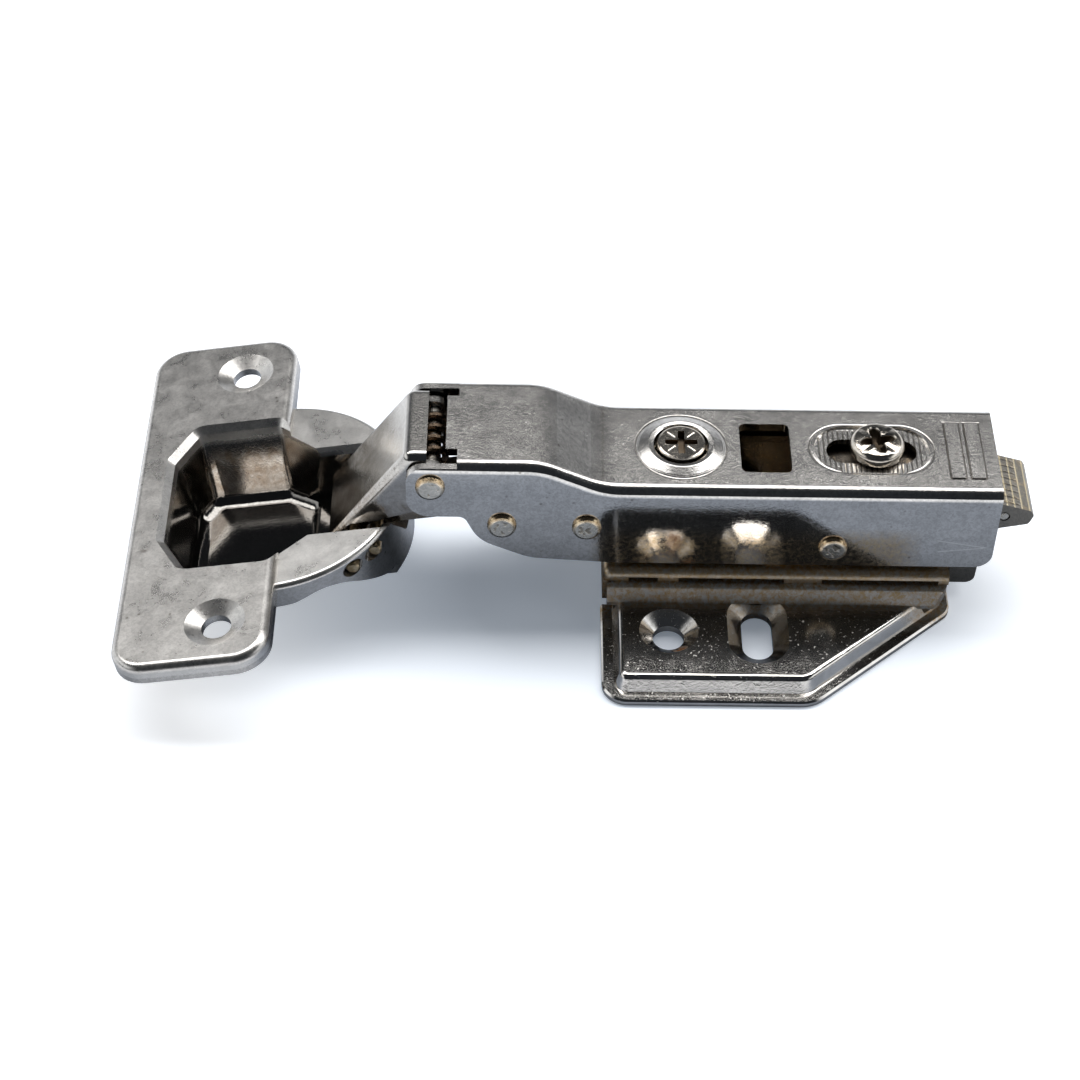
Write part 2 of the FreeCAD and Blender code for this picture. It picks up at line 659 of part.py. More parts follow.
def hinge_cup():
    sheet = CUP_SHEET
    floor = -CUP_DEPTH
    flange_plan = [(FLANGE_BACK, -FLANGE_HALF, FLANGE_CORNER),
                   (FLANGE_EDGE, -FLANGE_HALF, FLANGE_CORNER),
                   (FLANGE_EDGE, FLANGE_HALF, FLANGE_CORNER), (FLANGE_BACK, FLANGE_HALF, FLANGE_CORNER)]
    flange = plan_prism(flange_plan, -FLANGE_RIM, 0)
    flange = fillet_where(flange, FLANGE_ROUND, lambda b: b.ZMin > -0.01)
    hollow = plan_prism(inset(flange_plan, sheet), -FLANGE_RIM - 1, -sheet)
    flange = flange.cut(hollow)
    half_round = block(0, CUP_RADIUS + 2, -CUP_RADIUS - 1, CUP_RADIUS + 1, floor - 3, 1)
    ear_low = -EAR_DROP - sheet
    disc = Part.makeCylinder(CUP_RADIUS, sheet, V(0, 0, ear_low))
    disc = fillet_where(disc, EAR_ROUND, lambda b: b.ZMin > -EAR_DROP - 0.01).common(half_round)
    nose_low = -CUP_DEPTH - 0.2
    ring = Part.makeCylinder(CUP_RADIUS, -EAR_DROP - EAR_ROUND - nose_low, V(0, 0, nose_low))
    ring = fillet_where(ring, 1.8, lambda b: b.ZMax < nose_low + 0.01)
    ring_in = Part.makeCylinder(CUP_RADIUS - sheet, 20, V(0, 0, nose_low + sheet))
    ring = ring.cut(ring_in).common(half_round).cut(skirt_cut())
    pan = plan_loft(pan_outline(sheet, 1.12), floor - sheet, pan_outline(sheet, 0), -sheet / 2)
    pan = fillet_where(pan, 1.8, lambda b: b.ZMax < floor - sheet + 0.01)
    pan = pan.cut(block(FLANGE_EDGE, CUP_RADIUS, -CUP_RADIUS, CUP_RADIUS, -EAR_DROP - sheet / 2, 1))
    throat = plan_loft(throat_outline(sheet, THROAT_TAPER), floor - sheet * 0.2,
                       throat_outline(sheet, 0), ear_low + 0.2)
    throat = throat.common(Part.makeCylinder(CUP_RADIUS, 30, V(0, 0, -20)))
    boss = []
    for side in (-1, 1):
        boss.append(Part.makeCone(DOOR_HOLE_R + sheet, DIMPLE_R + sheet, DIMPLE_DEEP,
                                  V(DOOR_HOLE_U, side * DOOR_HOLE_V, -DIMPLE_DEEP - sheet)))
    body = union([flange, disc, ring, pan, throat] + boss)
    pan_in = plan_loft(pan_outline(0, 1), floor, pan_outline(0, 0), -BEVEL)
    pan_in = fillet_where(pan_in, 1.9, lambda b: b.ZMax < floor + 0.01)
    over = BEVEL + EPS
    lip = plan_loft(pan_outline(0, 0), -BEVEL, pan_outline(over, 0), EPS)
    throat_in = plan_loft(throat_outline(0, THROAT_TAPER), floor + 0.6, throat_outline(0, 0),
                          -BEVEL - EAR_DROP)
    nose_in = Part.makeCylinder(CUP_RADIUS - sheet, 30, V(0, 0, -20))
    throat_in = throat_in.common(nose_in)
    throat_lip = plan_loft(throat_outline(0, 0), -BEVEL - EAR_DROP, throat_outline(over, 0),
                           EPS - EAR_DROP)
    body = body.cut(pan_in).cut(lip)
    body = body.cut(throat_in).cut(throat_lip)
    bend = -EAR_DROP - 1.2
    slot = [(-THROAT_SLOT_TOP, 1), (-THROAT_SLOT_TOP, bend), (-THROAT_SLOT_FOOT, -THROAT_SLOT_DEEP, 1.0),
            (THROAT_SLOT_FOOT, -THROAT_SLOT_DEEP, 1.0), (THROAT_SLOT_TOP, bend), (THROAT_SLOT_TOP, 1)]
    body = body.cut(end_prism(slot, 9.0, CUP_RADIUS + 2))
    wide = CUP_RADIUS + 1
    for pin in (OUTER_PIN, INNER_PIN):
        body = body.cut(bar_y(pin, PIN_R + FIT, -wide, wide))
        for side in (-1, 1):
            low, high = sorted((side * (THROAT_HALF + sheet + 0.2), side * wide))
            body = body.cut(bar_y(pin, PIN_HOLE_R, low, high))
    for side in (-1, 1):
        v = side * DOOR_HOLE_V
        body = body.cut(Part.makeCone(DOOR_HOLE_R, DIMPLE_R, DIMPLE_DEEP,
                                      V(DOOR_HOLE_U, v, -DIMPLE_DEEP)))
        body = body.cut(bar_z(DOOR_HOLE_U, v, DOOR_HOLE_R, -5, 1))
    return cup_to_part(body.removeSplitter())


def cup_pins():
    """Two cross pins in the cup's throat walls; their ends show in the skirt."""
    pins = []
    for pin in (OUTER_PIN, INNER_PIN):
        reach = math.sqrt((CUP_RADIUS + 0.1) ** 2 - pin[0] ** 2)
        body = bar_y(pin, PIN_R, -reach, reach)
        body = chamfer_where(body, 0.2, lambda b: b.YLength < 0.01)
        pins.append(cup_to_part(body))
    return Part.makeCompound(pins)


# Carriage and screws

def carriage():
    half = CARRIAGE_HALF
    sheet = CARRIAGE_SHEET
    top = CARRIAGE_TOP
    outline = [(CARRIAGE_FRONT, CARRIAGE_FOOT, 1.0), (CARRIAGE_REAR - 4, CARRIAGE_FOOT, 2.0),
               (CARRIAGE_REAR, CARRIAGE_FOOT + 4, 1.5), (CARRIAGE_REAR, top), (CARRIAGE_FRONT, top)]
    body = side_prism(outline, -half, half)
    body = fillet_where(body, 1.2, lambda b: b.ZMin > top - 0.01 and b.YLength < 0.1)
    body = body.cut(block(CARRIAGE_FRONT - 1, CARRIAGE_REAR + 1, sheet - half, half - sheet, 0,
                          top - sheet))
    pin_z = RELEASE_PIN[1]
    horn = [(CARRIAGE_REAR - 3.2, top - 0.5), (CARRIAGE_REAR - 0.2, top - 0.5),
            (CARRIAGE_REAR - 0.2, pin_z + 0.5, 0.6),
            (RELEASE_PIN[0], pin_z + 0.5), (RELEASE_PIN[0], pin_z - 1.0),
            (CARRIAGE_REAR - 1, pin_z - 1.7, 0.8),
            (CARRIAGE_REAR - 3.2, pin_z - 1.1, 0.8)]
    for side in (-1, 1):
        low, high = sorted((side * (HORN_HALF - HORN_SHEET), side * HORN_HALF))
        body = body.fuse(side_prism(horn, low, high)).fuse(bar_y(RELEASE_PIN, 1.0, low, high))
    wide = half + 1
    body = body.cut(bar_y(RELEASE_PIN, RELEASE_PIN_R + FIT, -wide, wide))
    body = body.cut(bar_y(CLIP_PIN, CLIP_PIN_R + FIT, -wide, wide))
    mouth = CLIP_PIN_R + FIT
    for side in (-1, 1):
        low, high = sorted((side * (half - sheet - 0.1), side * wide))
        body = body.cut(block(CARRIAGE_FRONT - 1, CLIP_PIN[0], low, high, CLIP_PIN[1] - mouth,
                              CLIP_PIN[1] + mouth * 0.72))
        groove = RIVET_SHANK + FIT
        travel = DEPTH_TRAVEL + FIT
        body = body.cut(bar_y((REAR_PIVOT[0] - travel, REAR_PIVOT[1]), groove, low, high))
        body = body.cut(bar_y((REAR_PIVOT[0] + travel, REAR_PIVOT[1]), groove, low, high))
        body = body.cut(block(REAR_PIVOT[0] - travel, REAR_PIVOT[0] + travel, low, high,
                              REAR_PIVOT[1] - groove, REAR_PIVOT[1] + groove))
    body = body.cut(oblong(COLLAR_X, 0, SIDE_NECK_R + FIT, DEPTH_TRAVEL + FIT, 0, top - 2 * sheet,
                           top + 1))
    body = body.cut(block(WINDOW_X - 4.2, WINDOW_X + 4.2, -4.7, 4.7, top - 2 * sheet, top + 1))
    body = body.cut(bar_z(DEPTH_SCREW_X, 0, DEPTH_SHANK_R + FIT, top - 2 * sheet, top + 1))
    return body.removeSplitter()


def cross_cut(x, z_top, length, width, depth):
    """Cross recess of a screw head."""
    tall = depth + 1
    first = block(x - length / 2, x + length / 2, -width / 2, width / 2, z_top - depth,
                  z_top - depth + tall)
    second = block(x - width / 2, x + width / 2, -length / 2, length / 2, z_top - depth,
                   z_top - depth + tall)
    return first.fuse(second)


def side_screw():
    top = SIDE_SCREW_TOP
    shoulder = CARRIAGE_TOP + 0.1
    under = CARRIAGE_TOP - CARRIAGE_SHEET - 0.1
    foot = under - SIDE_FOOT_HIGH
    outline = [(0, top), (SIDE_SCREW_R, top, 0.3), (SIDE_SCREW_R, shoulder, 0.2),
               (SIDE_NECK_R, shoulder),
               (SIDE_NECK_R, under), (SIDE_FOOT_R, under), (SIDE_FOOT_R, foot, 0.3), (0, foot)]
    body = turned(outline, COLLAR_X, 0)
    return body.cut(cross_cut(COLLAR_X, top, 4.3, 0.9, 1.3))


def depth_screw():
    under = ARM_TOP - SLOT_PAN_DEEP + PLAY
    top = under + DEPTH_HEAD_HIGH
    outline = [(0, top), (DEPTH_HEAD_R - 0.5, top, 0.4), (DEPTH_HEAD_R, top - 0.7, 0.4),
               (DEPTH_HEAD_R, under, 0.25),
               (DEPTH_SHANK_R, under), (DEPTH_SHANK_R, DEPTH_END, 0.4), (0, DEPTH_END)]
    body = turned(outline, DEPTH_SCREW_X, 0)
    return body.cut(cross_cut(DEPTH_SCREW_X, top, 4.2, 1.15, 1.4))


def depth_nut():
    top = CARRIAGE_TOP - CARRIAGE_SHEET
    low = top - NUT_HIGH
    plan = [(DEPTH_SCREW_X - NUT_HALF, -NUT_HALF, 0.5), (DEPTH_SCREW_X + NUT_HALF, -NUT_HALF, 0.5),
            (DEPTH_SCREW_X + NUT_HALF, NUT_HALF, 0.5), (DEPTH_SCREW_X - NUT_HALF, NUT_HALF, 0.5)]
    return plan_prism(plan, low, top).cut(bar_z(DEPTH_SCREW_X, 0, DEPTH_SHANK_R + FIT, low - 1, top + 1))


# Release lever

def release_lever():
    px, pz = RELEASE_PIN
    hook = RELEASE_HOOK
    outline = [(px - 2.35, pz + 2.8, 0.3), (px - 3.3, pz + 0.65, 1.0), (px - 3.8, pz - 2.35, 1.0),
               (hook + 1.4, 8.4, 1.0),
               (hook + 1.1, 4.7, 0.3), (hook, 4.4, 0.5), (hook, RELEASE_FOOT, 1.2),
               (RELEASE_BACK, RELEASE_FOOT, 1.3),
               (RELEASE_BACK + 0.2, 7.8, 1.5), (px - 0.95, pz - 2.35, 1.5), (px + 3.45, pz - 1.35, 0.6),
               (px + 4.0, pz + 0.25, 0.5), (px + 3.45, pz + 1.1, 0.5)]
    body = side_prism(outline, -RELEASE_HALF, RELEASE_HALF)
    inner = RELEASE_HALF - RELEASE_CHEEK
    skin = RELEASE_SKIN
    pocket = [(px - 8, pz + 2.8 - skin), (px - 8, pz - 3.6), (px - 0.95, pz - 3.6), (px + 4.8, pz - 2.0),
              (px + 3.2, pz + 1.2 - skin), (px - 2.35, pz + 2.8 - skin)]
    body = body.cut(side_prism(pocket, -inner, inner))
    body = body.cut(bar_y(RELEASE_PIN, RELEASE_PIN_R + FIT, -RELEASE_HALF - 1, RELEASE_HALF + 1))
    for side in (-1, 1):
        low, high = sorted((side * (RELEASE_HALF - 0.3), side * (RELEASE_HALF + 1)))
        body = body.cut(bar_y(RELEASE_PIN, RELEASE_PIN_R + 0.2, low, high))
    return body.removeSplitter()


def release_pin():
    reach = RELEASE_HALF - 0.05
    return bar_y(RELEASE_PIN, RELEASE_PIN_R, -reach, reach)


def release_spring():
    return lay_along_y(coil(RELEASE_COIL_R, RELEASE_COIL_WIRE, RELEASE_COIL_PITCH, RELEASE_COIL_TURNS),
                       RELEASE_PIN)


# Mounting plate

def plate_outline():
    return [(PLATE_FRONT, -PLATE_HALF, 3.4), (PLATE_CUT_X, -PLATE_HALF, 5.0),
            (PLATE_REAR, -PLATE_CUT_Y, 2.6),
            (PLATE_REAR, PLATE_CUT_Y, 2.6), (PLATE_CUT_X, PLATE_HALF, 5.0),
            (PLATE_FRONT, PLATE_HALF, 3.4)]


def ridge(low, grow):
    """Raised middle strip of the plate that carries the saddle."""
    top = PLATE_TOP + RIDGE_HIGH + low
    half = RIDGE_HALF + grow
    foot = RIDGE_FOOT + grow
    outline = [(-foot, PLATE_TOP + low), (-half, top, 0.9), (half, top, 0.9), (foot, PLATE_TOP + low),
               (foot, PLATE_TOP + low - 0.6), (-foot, PLATE_TOP + low - 0.6)]
    return end_prism(outline, PLATE_FRONT, PLATE_REAR)


def wing_plate():
    base = plate_outline()
    foot = inset(base, PLATE_LIP)
    shoulder = inset(base, PLATE_LIP + PLATE_SLOPE)
    lip = plan_prism(base, 0, PLATE_LIP_HIGH)
    lip = chamfer_where(lip, 0.25, lambda b: b.ZMin > PLATE_LIP_HIGH - 0.01)
    tray = plan_loft(foot, PLATE_LIP_HIGH, shoulder, PLATE_TOP)
    tray = fillet_where(tray, PLATE_ROUND, lambda b: b.ZMin > PLATE_TOP - 0.01)
    inner_top = PLATE_TOP - PLATE_SHEET
    grip = plan_prism(inset(base, PLATE_LIP * 0.5), -1, PLATE_TOP + 9)
    raised = ridge(0, 0).common(grip)
    cones = []
    for side in (-1, 1):
        cones.append(Part.makeCone(HOLE_R + PLATE_SHEET, HOLE_DIMPLE_R + PLATE_SHEET, HOLE_DEEP,
                                   V(ROUND_X, side * ROW_HALF, inner_top - HOLE_DEEP + 0.2)))
        cones.append(oblong_cone(OBLONG_X, side * OBLONG_HALF, OBLONG_R + PLATE_SHEET,
                                 OBLONG_DIMPLE_R + PLATE_SHEET, OBLONG_REACH,
                                 inner_top - HOLE_DEEP + 0.2, inner_top + 0.2))
    outer = union([lip, tray, raised])
    hollow = plan_loft(inset(base, PLATE_LIP + PLATE_SHEET * 0.8), -0.5,
                       inset(base, PLATE_LIP + PLATE_SLOPE + PLATE_SHEET * 0.8), inner_top)
    hollow = hollow.fuse(ridge(-PLATE_SHEET, -0.3).common(grip))
    body = outer.cut(hollow)
    body = union([body] + cones)
    low = -1
    for side in (-1, 1):
        y = side * ROW_HALF
        body = body.cut(Part.makeCone(HOLE_R, HOLE_DIMPLE_R, HOLE_DEEP,
                                      V(ROUND_X, y, PLATE_TOP - HOLE_DEEP)))
        body = body.cut(bar_z(ROUND_X, y, HOLE_R, low, PLATE_TOP + 1))
        y = side * OBLONG_HALF
        body = body.cut(oblong_cone(OBLONG_X, y, OBLONG_R, OBLONG_DIMPLE_R, OBLONG_REACH,
                                    PLATE_TOP - HOLE_DEEP, PLATE_TOP + 0.001))
        body = body.cut(oblong(OBLONG_X, y, OBLONG_R, 0, OBLONG_REACH, low, PLATE_TOP))
    body = body.cut(block(PLATE_FRONT - 1, SADDLE_FRONT + SADDLE_SHEET + PLAY, -SADDLE_HALF - PLAY,
                          SADDLE_HALF + PLAY, low, 9))
    body = body.cut(block(RELEASE_HOOK - 1.4, PLATE_REAR + 1, -RELEASE_HALF - 0.8, RELEASE_HALF + 0.8,
                          low, 9))
    for x in PLATE_RIVET_X:
        body = body.cut(bar_z(x, 0, PLATE_RIVET_R + FIT, low, 9))
    return body.removeSplitter()


def saddle():
    half = SADDLE_HALF
    sheet = SADDLE_SHEET
    foot = PLATE_TOP + RIDGE_HIGH
    section = [(-half, foot), (half, foot), (half, SADDLE_TOP, SADDLE_BEND),
               (-half, SADDLE_TOP, SADDLE_BEND)]
    body = end_prism(section, SADDLE_FRONT, SADDLE_REAR)
    body = fillet_where(body, 1.0, lambda b: b.XMax < SADDLE_FRONT + 0.01 and b.ZMin > SADDLE_TOP - 0.01)
    apron = [(-half, PLATE_LIP_HIGH, 1.5), (half, PLATE_LIP_HIGH, 1.5), (half, foot + 0.1),
             (-half, foot + 0.1)]
    body = body.fuse(end_prism(apron, SADDLE_FRONT, SADDLE_FRONT + sheet))
    body = body.cut(block(SADDLE_FRONT + sheet, SADDLE_REAR + 1, sheet - half, half - sheet, 0,
                          SADDLE_TOP - sheet))
    for low, high in SLITS:
        body = body.cut(block(low, high, -half - 1, half + 1, foot - 1, foot + SLIT_HIGH))
    for x in PLATE_RIVET_X:
        body = body.cut(bar_z(x, 0, PLATE_RIVET_R + FIT, 0, SADDLE_TOP + 1))
    return body.removeSplitter()


def clip_rail():
    half = RAIL_HALF
    sheet = RAIL_SHEET
    foot = SADDLE_TOP
    outline = [(RAIL_FRONT, foot), (RAIL_REAR, foot), (RAIL_REAR, RAIL_TOP - 3, 2.0),
               (RAIL_REAR - 4, RAIL_TOP, 2.0),
               (RAIL_FRONT + 3, RAIL_TOP, 2.5), (RAIL_FRONT, RAIL_TOP - 3, 1.5)]
    body = side_prism(outline, -half, half)
    body = fillet_where(body, 0.9, lambda b: b.ZMin > RAIL_TOP - 0.01 and b.YLength < 0.1)
    body = body.cut(block(RAIL_FRONT - 1, RAIL_REAR + 1, sheet - half, half - sheet, foot + RAIL_FOOT,
                          RAIL_TOP - sheet))
    body = body.cut(block(RAIL_FRONT - 1, RAIL_REAR + 1, -1.6 - PLATE_RIVET_HEAD / 2,
                          1.6 + PLATE_RIVET_HEAD / 2,
                          RAIL_TOP - 2 * sheet, RAIL_TOP + 1).common(
        block(PLATE_RIVET_X[0] - 3, PLATE_RIVET_X[0] + 3, -9, 9, 0, 30)))
    body = body.cut(bar_y(CLIP_PIN, CLIP_PIN_R + FIT, -half - 1, half + 1))
    for x in PLATE_RIVET_X:
        body = body.cut(bar_z(x, 0, PLATE_RIVET_R + FIT, 0, foot + RAIL_FOOT + 0.1))
    return body.removeSplitter()


def clip_pin():
    reach = CARRIAGE_HALF - 0.1
    body = bar_y(CLIP_PIN, CLIP_PIN_R, -reach, reach)
    return chamfer_where(body, 0.25, lambda b: b.YLength < 0.01)


def plate_rivets():
    """Rivets that hold the rail and the saddle on the plate."""
    low = PLATE_TOP + RIDGE_HIGH - PLATE_SHEET
    high = SADDLE_TOP + RAIL_FOOT
    rivets = []
    for x in PLATE_RIVET_X:
        body = bar_z(x, 0, PLATE_RIVET_R, low, high)
        body = body.fuse(bar_z(x, 0, PLATE_RIVET_HEAD, high, high + 0.6))
        body = body.fuse(bar_z(x, 0, PLATE_RIVET_HEAD, low - 0.6, low))
        rivets.append(body.removeSplitter())
    return Part.makeCompound(rivets)


PARTS = {
    "wing_plate": wing_plate,
    "saddle": saddle,
    "clip_rail": clip_rail,
    "clip_pin": clip_pin,
    "plate_rivets": plate_rivets,
    "carriage": carriage,
    "depth_nut": depth_nut,
    "depth_screw": depth_screw,
    "side_screw": side_screw,
    "rear_rivet": rear_rivet,
    "release_lever": release_lever,
    "release_pin": release_pin,
    "release_spring": release_spring,
    "hinge_arm": hinge_arm,
    "front_rivet": lambda: arm_rivet(OUTER_PIVOT),
    "middle_rivet": lambda: arm_rivet(INNER_PIVOT),
    "damper_rivet": lambda: arm_rivet(DAMPER_PIVOT),
    "torsion_spring": torsion_spring,
    "damper_body": damper_body,
    "damper_cap": damper_cap,
    "damper_rod": damper_rod,
    "outer_lever": outer_lever,
    "inner_lever": inner_lever,
    "hinge_cup": hinge_cup,
    "cup_pins": cup_pins,
}


def main():
    os.makedirs("parts", exist_ok=True)
    for name, make in PARTS.items():
        shape = make()
        shape.exportStep("parts/" + name + ".step")
        box = shape.BoundBox
        print("%-16s solids %d valid %s volume %.1f box x %.1f..%.1f y %.1f..%.1f z %.1f..%.1f" % (
            name, len(shape.Solids), shape.isValid(), shape.Volume,
            box.XMin, box.XMax, box.YMin, box.YMax, box.ZMin, box.ZMax))


main()
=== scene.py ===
import bmesh
import bpy
import math
from mathutils import Matrix, Vector


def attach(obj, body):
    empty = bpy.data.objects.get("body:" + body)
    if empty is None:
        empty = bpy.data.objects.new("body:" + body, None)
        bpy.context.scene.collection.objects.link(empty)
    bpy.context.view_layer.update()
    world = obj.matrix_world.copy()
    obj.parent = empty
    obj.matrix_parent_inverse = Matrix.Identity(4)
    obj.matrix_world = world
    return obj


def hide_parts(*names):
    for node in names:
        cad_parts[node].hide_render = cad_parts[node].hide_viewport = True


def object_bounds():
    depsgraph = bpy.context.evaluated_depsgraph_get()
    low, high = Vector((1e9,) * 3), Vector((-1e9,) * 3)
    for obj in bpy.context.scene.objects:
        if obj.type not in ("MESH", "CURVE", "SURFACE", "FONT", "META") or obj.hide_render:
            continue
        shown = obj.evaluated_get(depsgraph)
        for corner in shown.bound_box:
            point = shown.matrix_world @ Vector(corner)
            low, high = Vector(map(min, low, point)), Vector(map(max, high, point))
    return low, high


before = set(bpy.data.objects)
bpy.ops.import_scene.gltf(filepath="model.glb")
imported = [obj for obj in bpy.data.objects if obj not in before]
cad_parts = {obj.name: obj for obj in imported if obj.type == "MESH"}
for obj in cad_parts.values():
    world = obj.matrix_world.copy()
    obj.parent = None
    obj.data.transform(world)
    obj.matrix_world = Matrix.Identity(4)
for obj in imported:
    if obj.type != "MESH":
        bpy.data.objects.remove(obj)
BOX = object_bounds()
MM = 0.001
scene = bpy.context.scene


# Node helpers

def new_material(name):
    mat = bpy.data.materials.new(name)
    mat.use_nodes = True
    tree = mat.node_tree
    tree.nodes.clear()
    out = tree.nodes.new("ShaderNodeOutputMaterial")
    shader = tree.nodes.new("ShaderNodeBsdfPrincipled")
    tree.links.new(shader.outputs[0], out.inputs[0])
    return mat, tree, shader


def coords(tree):
    """Object coordinates: the row frame in metres."""
    return tree.nodes.new("ShaderNodeTexCoord").outputs["Object"]


def noise(tree, scale, detail=3.0, rough=0.5, distort=0.0, stretch=None):
    node = tree.nodes.new("ShaderNodeTexNoise")
    node.inputs["Scale"].default_value = scale
    node.inputs["Detail"].default_value = detail
    node.inputs["Roughness"].default_value = rough
    node.inputs["Distortion"].default_value = distort
    source = coords(tree)
    if stretch:
        mapping = tree.nodes.new("ShaderNodeMapping")
        mapping.inputs["Scale"].default_value = stretch
        tree.links.new(source, mapping.inputs[0])
        source = mapping.outputs[0]
    tree.links.new(source, node.inputs["Vector"])
    return node.outputs["Fac"]


def ramp(tree, source, stops):
    """Grey values by place: stops are pairs of a place and a value from 0 to 1."""
    node = tree.nodes.new("ShaderNodeValToRGB")
    elements = node.color_ramp.elements
    while len(elements) < len(stops):
        elements.new(0.5)
    for element, (place, value) in zip(elements, stops):
        element.position = place
        element.color = (value, value, value, 1)
    tree.links.new(source, node.inputs[0])
    return node.outputs[0]


def math_node(tree, kind, a, b=None, clamp=False):
    node = tree.nodes.new("ShaderNodeMath")
    node.operation = kind
    node.use_clamp = clamp
    for i, value in enumerate((a, b)):
        if value is None:
            continue
        if isinstance(value, (int, float)):
            node.inputs[i].default_value = value
        else:
            tree.links.new(value, node.inputs[i])
    return node.outputs[0]


def mix(tree, factor, a, b, kind="MIX"):
    node = tree.nodes.new("ShaderNodeMix")
    node.data_type = "RGBA"
    node.blend_type = kind
    for socket, value in ((node.inputs[0], factor), (node.inputs[6], a), (node.inputs[7], b)):
        if isinstance(value, (int, float)):
            socket.default_value = value
        elif isinstance(value, tuple):
            socket.default_value = (*value, 1)
        else:
            tree.links.new(value, socket)
    return node.outputs[2]


def lerp(tree, factor, a, b):
    node = tree.nodes.new("ShaderNodeMix")
    node.data_type = "FLOAT"
    for socket, value in ((node.inputs[0], factor), (node.inputs[2], a), (node.inputs[3], b)):
        if isinstance(value, (int, float)):
            socket.default_value = value
        else:
            tree.links.new(value, socket)
    return node.outputs[0]


def axis_value(tree, axis):
    """One coordinate of the row frame, in millimetres."""
    split = tree.nodes.new("ShaderNodeSeparateXYZ")
    tree.links.new(coords(tree), split.inputs[0])
    return math_node(tree, "MULTIPLY", split.outputs[axis], 1000.0)


def band(tree, value, low, high, soft):
    """1 between low and high, falling to 0 over soft."""
    rise = tree.nodes.new("ShaderNodeMapRange")
    rise.inputs["From Min"].default_value = low - soft
    rise.inputs["From Max"].default_value = low
    tree.links.new(value, rise.inputs[0])
    fall = tree.nodes.new("ShaderNodeMapRange")
    fall.inputs["From Min"].default_value = high + soft
    fall.inputs["From Max"].default_value = high
    tree.links.new(value, fall.inputs[0])
    return math_node(tree, "MULTIPLY", rise.outputs[0], fall.outputs[0])


def vector_node(tree, kind, a, b=None, scale=None):
    node = tree.nodes.new("ShaderNodeVectorMath")
    node.operation = kind
    for i, value in enumerate((a, b)):
        if value is None:
            continue
        if isinstance(value, tuple):
            node.inputs[i].default_value = value
        else:
            tree.links.new(value, node.inputs[i])
    if scale is not None:
        tree.links.new(scale, node.inputs["Scale"])
    return node.outputs["Value"] if kind in ("DOT_PRODUCT", "LENGTH") else node.outputs["Vector"]


def facing(tree, axis):
    """How far the surface at rest faces along an axis, without sign."""
    split = tree.nodes.new("ShaderNodeSeparateXYZ")
    tree.links.new(tree.nodes.new("ShaderNodeTexCoord").outputs["Normal"], split.inputs[0])
    return math_node(tree, "ABSOLUTE", split.outputs[axis])


def level(tree, value, low, high, a=0.0, b=1.0):
    """Map low..high to a..b and hold the ends."""
    node = tree.nodes.new("ShaderNodeMapRange")
    node.inputs["From Min"].default_value = low
    node.inputs["From Max"].default_value = high
    node.inputs["To Min"].default_value = a
    node.inputs["To Max"].default_value = b
    tree.links.new(value, node.inputs[0])
    return node.outputs[0]


def both(tree, *masks):
    result = masks[0]
    for mask in masks[1:]:
        result = math_node(tree, "MULTIPLY", result, mask)
    return result


def stroke(tree, keep, start, end, width):
    """1 on a line between two places in mm; keep drops the axis that it doesn't use."""
    place = vector_node(tree, "MULTIPLY", coords(tree), tuple(1000.0 * k for k in keep))
    offset = vector_node(tree, "SUBTRACT", place, start)
    run = tuple(e - s for s, e in zip(start, end))
    square = sum(r * r for r in run)
    along = math_node(tree, "DIVIDE", vector_node(tree, "DOT_PRODUCT", offset, run), square, clamp=True)
    step = vector_node(tree, "SCALE", run, scale=along)
    gap = vector_node(tree, "LENGTH", vector_node(tree, "SUBTRACT", offset, step))
    return level(tree, gap, width, 0.0)


def radius_from(tree, keep, centre):
    """Distance in mm from a line through centre; keep drops the axis along it."""
    place = vector_node(tree, "MULTIPLY", coords(tree), tuple(1000.0 * k for k in keep))
    return vector_node(tree, "LENGTH", vector_node(tree, "SUBTRACT", place, centre))


def stripes(tree, value, pitch, share):
    """Soft lines across a coordinate in mm."""
    phase = math_node(tree, "FRACT", math_node(tree, "DIVIDE", value, pitch))
    middle = math_node(tree, "ABSOLUTE", math_node(tree, "SUBTRACT", phase, 0.5))
    return level(tree, middle, 0.5 - share, 0.5)


CUP_AT = (-53.8, 13.42)
CUP_TILT = math.radians(9.55)


def cup_height(tree):
    """Height over the flange's upper face in mm, square to it."""
    x = math_node(tree, "SUBTRACT", axis_value(tree, 0), CUP_AT[0])
    z = math_node(tree, "SUBTRACT", axis_value(tree, 2), CUP_AT[1])
    return math_node(tree, "SUBTRACT", math_node(tree, "MULTIPLY", z, math.cos(CUP_TILT)),
                     math_node(tree, "MULTIPLY", x, math.sin(CUP_TILT)))


